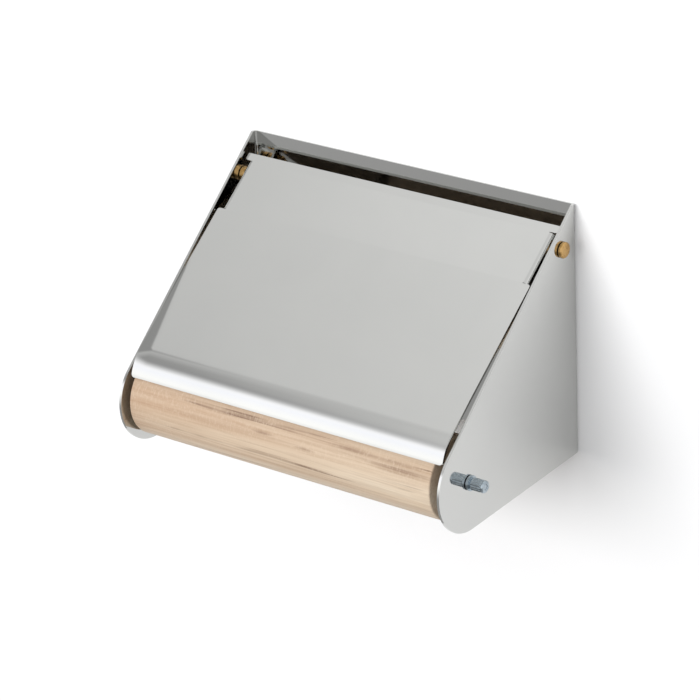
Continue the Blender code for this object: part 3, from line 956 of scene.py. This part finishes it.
def build_pin():
    """The pull-out pin: smooth shank, thin collar by the cheek, ribbed grip with a round end."""
    tip = ROLLER_RIGHT_X - PIN_REACH_INTO_BORE
    collar = OUTER_X + TOUCH_GAP
    grip = collar + COLLAR_LENGTH
    end = grip + GRIP_LENGTH
    groove_end = end - GRIP_CHAMFER
    chamfer = PIN_RADIUS / 4
    crown = [
        (
            end - GRIP_CHAMFER * (1 - math.sin(t)),
            GRIP_RADIUS - GRIP_CHAMFER * (1 - math.cos(t)),
        )
        for t in quarter_turn(RIM_STEPS)
    ]
    profile = [
        (tip, 0),
        (tip, PIN_RADIUS - chamfer),
        (tip + chamfer, PIN_RADIUS),
        (collar, PIN_RADIUS),
        (collar, COLLAR_RADIUS),
        (grip, COLLAR_RADIUS),
        (grip, GRIP_RADIUS - GRIP_GROOVE),
        (grip + GRIP_NECK, GRIP_RADIUS - GRIP_GROOVE),
        (grip + GRIP_NECK + GRIP_NECK_SLOPE, GRIP_RADIUS),
        (groove_end - GRIP_NECK - GRIP_NECK_SLOPE, GRIP_RADIUS),
        (groove_end - GRIP_NECK, GRIP_RADIUS - GRIP_END_GROOVE),
        (groove_end - GRIP_NECK_SLOPE, GRIP_RADIUS),
        *crown,
        (end, GRIP_DIMPLE_RADIUS),
        (end - GRIP_DIMPLE_DEPTH, GRIP_DIMPLE_FLOOR_RADIUS),
        (end - GRIP_DIMPLE_DEPTH, 0),
    ]
    ribbed = (8, 9)
    solid = turned(profile, ROLLER_POINT, segments=8 * GRIP_RIBS, grooved=ribbed)
    pin = mesh_object("release_pin_turned", solid)
    break_edges(pin, EDGE_BREAK / 3)
    finish_piece(pin, "release_pin", "zinc_plated_steel")


def build_wall_screw(side, x):
    """A pan-head screw with a cross recess, through the back plate into the wall."""
    center = at(x, 0, SCREW_HEIGHT)
    seat = SHEET + TOUCH_GAP
    crown = seat + SCREW_HEAD_LENGTH
    dome = [
        (
            seat + SCREW_RIM_LENGTH + (SCREW_HEAD_LENGTH - SCREW_RIM_LENGTH) * math.sin(t),
            SCREW_HEAD_RADIUS * math.sqrt(math.cos(t)),
        )
        for t in quarter_turn(PAN_STEPS)[:-1]
    ]
    profile = [
        (TOUCH_GAP, 0),
        (TOUCH_GAP, SCREW_SHANK_RADIUS),
        (seat, SCREW_SHANK_RADIUS),
        (seat, SCREW_HEAD_RADIUS),
        *dome,
        (crown, 0),
    ]
    pan = turned(profile, center, OUTWARD, SMALL_SEGMENTS)
    screw = mesh_object(f"wall_screw_{side}_pan", pan)
    long = RECESS_SPAN / 2
    thin = RECESS_WIDTH / 2
    cross = [
        (sx * a, sy * b)
        for sx, sy, turn_corner in ((1, 1, 1), (-1, 1, -1), (-1, -1, 1), (1, -1, -1))
        for a, b in ((long, thin), (thin, thin), (thin, long))[::turn_corner]
    ]

    def place(point, reach):
        return at(x + point[0], reach, SCREW_HEIGHT + point[1])

    combine(screw, "DIFFERENCE", prism(cross, place, crown - RECESS_DEPTH, crown + RECESS_DEPTH))
    break_edges(screw, EDGE_BREAK / 2)
    finish_piece(screw, f"wall_screw_{side}", "zinc_plated_steel")


# ---------------------------------------------------------------- stage, light and camera


def build_wall():
    """The pale wall. Its back isn't drawn, so the holder can be seen from behind."""
    bm = bmesh.new()
    bmesh.ops.create_grid(bm, x_segments=1, y_segments=1, size=WALL_HALF_SIZE)
    wall = mesh_object("wall", bm)
    wall.rotation_euler = (RIGHT_ANGLE, 0, 0)
    wall.location.y = -WALL_INSET
    s = Shader("wall_paint")
    s.set(Base_Color=(0.93, 0.93, 0.93, 1), Roughness=0.9, Specular_IOR_Level=0.1)
    back = s.node("ShaderNodeNewGeometry").outputs["Backfacing"]
    clear = s.node("ShaderNodeBsdfTransparent").outputs[0]
    mixed = s.node("ShaderNodeMixShader", {0: back, 1: s.surface.outputs[0], 2: clear})
    s.feed(s.output.inputs[0], mixed.outputs[0])
    wall.data.materials.append(s.material)


def build_key():
    """The soft main light, from the front. It stays out of reflections."""
    data = bpy.data.lights.new("key", "AREA")
    data.shape = "RECTANGLE"
    data.size = KEY_SIZE
    data.size_y = KEY_SIZE
    data.energy = KEY_POWER
    key = bpy.data.objects.new("key", data)
    key.rotation_euler = (-Vector(KEY_PLACE)).to_track_quat("-Z", "Y").to_euler()
    key.location = KEY_PLACE
    key.visible_camera = False
    key.visible_glossy = False
    bpy.context.scene.collection.objects.link(key)


def panel_level(n, direction, height_above):
    """Brightness around the direction that the lid mirrors, and a mask for where it holds.

    A pale panel fades sideways to a grey that is darkest low down. Nearer the horizon both
    turn white, for the curled lip. The lid's pressed corner mirrors a dark patch.
    """
    toward = n.dot(direction, PANEL_TOWARD)
    safe = n.math("MAXIMUM", toward, 0.1)
    across = n.math("DIVIDE", n.dot(direction, PANEL_ACROSS), safe)
    upward = n.math("DIVIDE", n.dot(direction, PANEL_UP), safe)
    panel = n.remap(upward, -0.060, 0.060, 0.80, 1.03)
    column = n.math("SUBTRACT", upward, n.math("MULTIPLY", across, 0.75))
    grey = n.remap(column, -0.050, 0.070, 0.46, 0.86)
    level = n.blend(n.remap(across, -0.025, -0.23, 0, 1), panel, grey)
    low = n.remap(upward, -0.072, -0.095, 0, 1)
    corner = n.math("MULTIPLY", low, n.remap(across, -0.10, -0.03, 0, 1))
    level = n.blend(corner, level, n.math("MINIMUM", level, CORNER_BRIGHTNESS))
    level = n.blend(n.smooth(height_above, 0.54, 0.32), level, LIP_BRIGHTNESS)
    return level, n.smooth(toward, 0.72, 0.84)


def build_world():
    """A pale studio, dim below and brightest a little above the horizon.

    Reflections are held to BRIGHTEST_MIRRORED, except at LIP_TOWARD and in the lid's own
    part of the sky. Diffuse rays see the plain studio, at the strength AMBIENT.
    """
    world = bpy.data.worlds.new("studio")
    world.use_nodes = True
    bpy.context.scene.world = world
    n = Nodes(world.node_tree)
    background = n.tree.nodes["Background"]
    direction = n.node("ShaderNodeTexCoord").outputs["Generated"]
    height_above = n.dot(direction, UPRIGHT)
    height = n.remap(height_above, -1, 1, 0, 1)
    # The levels go into the ramp halved, to lie within 0 to 1, and come out doubled.
    halved = n.ramp(height, [(place, (level / 2,) * 3) for place, level in STUDIO_LEVELS])
    studio = n.math("MULTIPLY", halved, 2.0)
    nearby, inside = panel_level(n, direction, height_above)
    front = n.smooth(n.dot(direction, LIP_TOWARD), 0.78, 0.93)
    mirrored = n.blend(front, n.math("MINIMUM", studio, BRIGHTEST_MIRRORED), studio)
    mirrored = n.blend(inside, mirrored, nearby)
    is_diffuse = n.node("ShaderNodeLightPath").outputs["Is Diffuse Ray"]
    level = n.blend(is_diffuse, mirrored, n.math("MULTIPLY", studio, AMBIENT))
    n.feed(background.inputs["Strength"], level)
    n.feed(background.inputs["Color"], n.ramp(height, STUDIO_TINT))


def build_camera():
    """Above, in front and to the right of the holder, with a slight roll."""
    back = Vector(
        (
            math.sin(CAMERA_AZIMUTH) * math.cos(CAMERA_ELEVATION),
            -math.cos(CAMERA_AZIMUTH) * math.cos(CAMERA_ELEVATION),
            math.sin(CAMERA_ELEVATION),
        )
    )
    side = UPRIGHT.cross(back).normalized()
    up = back.cross(side)
    right = side * math.cos(CAMERA_ROLL) + up * math.sin(CAMERA_ROLL)
    top = up * math.cos(CAMERA_ROLL) - side * math.sin(CAMERA_ROLL)
    data = bpy.data.cameras.new("camera")
    data.lens = CAMERA_LENS
    data.sensor_width = CAMERA_SENSOR
    data.clip_start = CAMERA_NEAR
    camera = bpy.data.objects.new("camera", data)
    rows = Matrix((right, top, back)).transposed().to_4x4()
    camera.matrix_world = Matrix.Translation(CAMERA_PLACE) @ rows
    bpy.context.scene.collection.objects.link(camera)
    bpy.context.scene.camera = camera


build_body()
build_lid()
for side, sign in (("left", -1), ("right", 1)):
    build_bolt(side, sign)
    build_spacer(side, sign)
    build_nut(side, sign)
    build_wall_screw(side, sign * SCREW_SPACING / 2)
build_roller()
build_stud()
build_pin()
build_wall()
build_world()
build_key()
build_camera()
bpy.context.scene.view_settings.view_transform = "Standard"
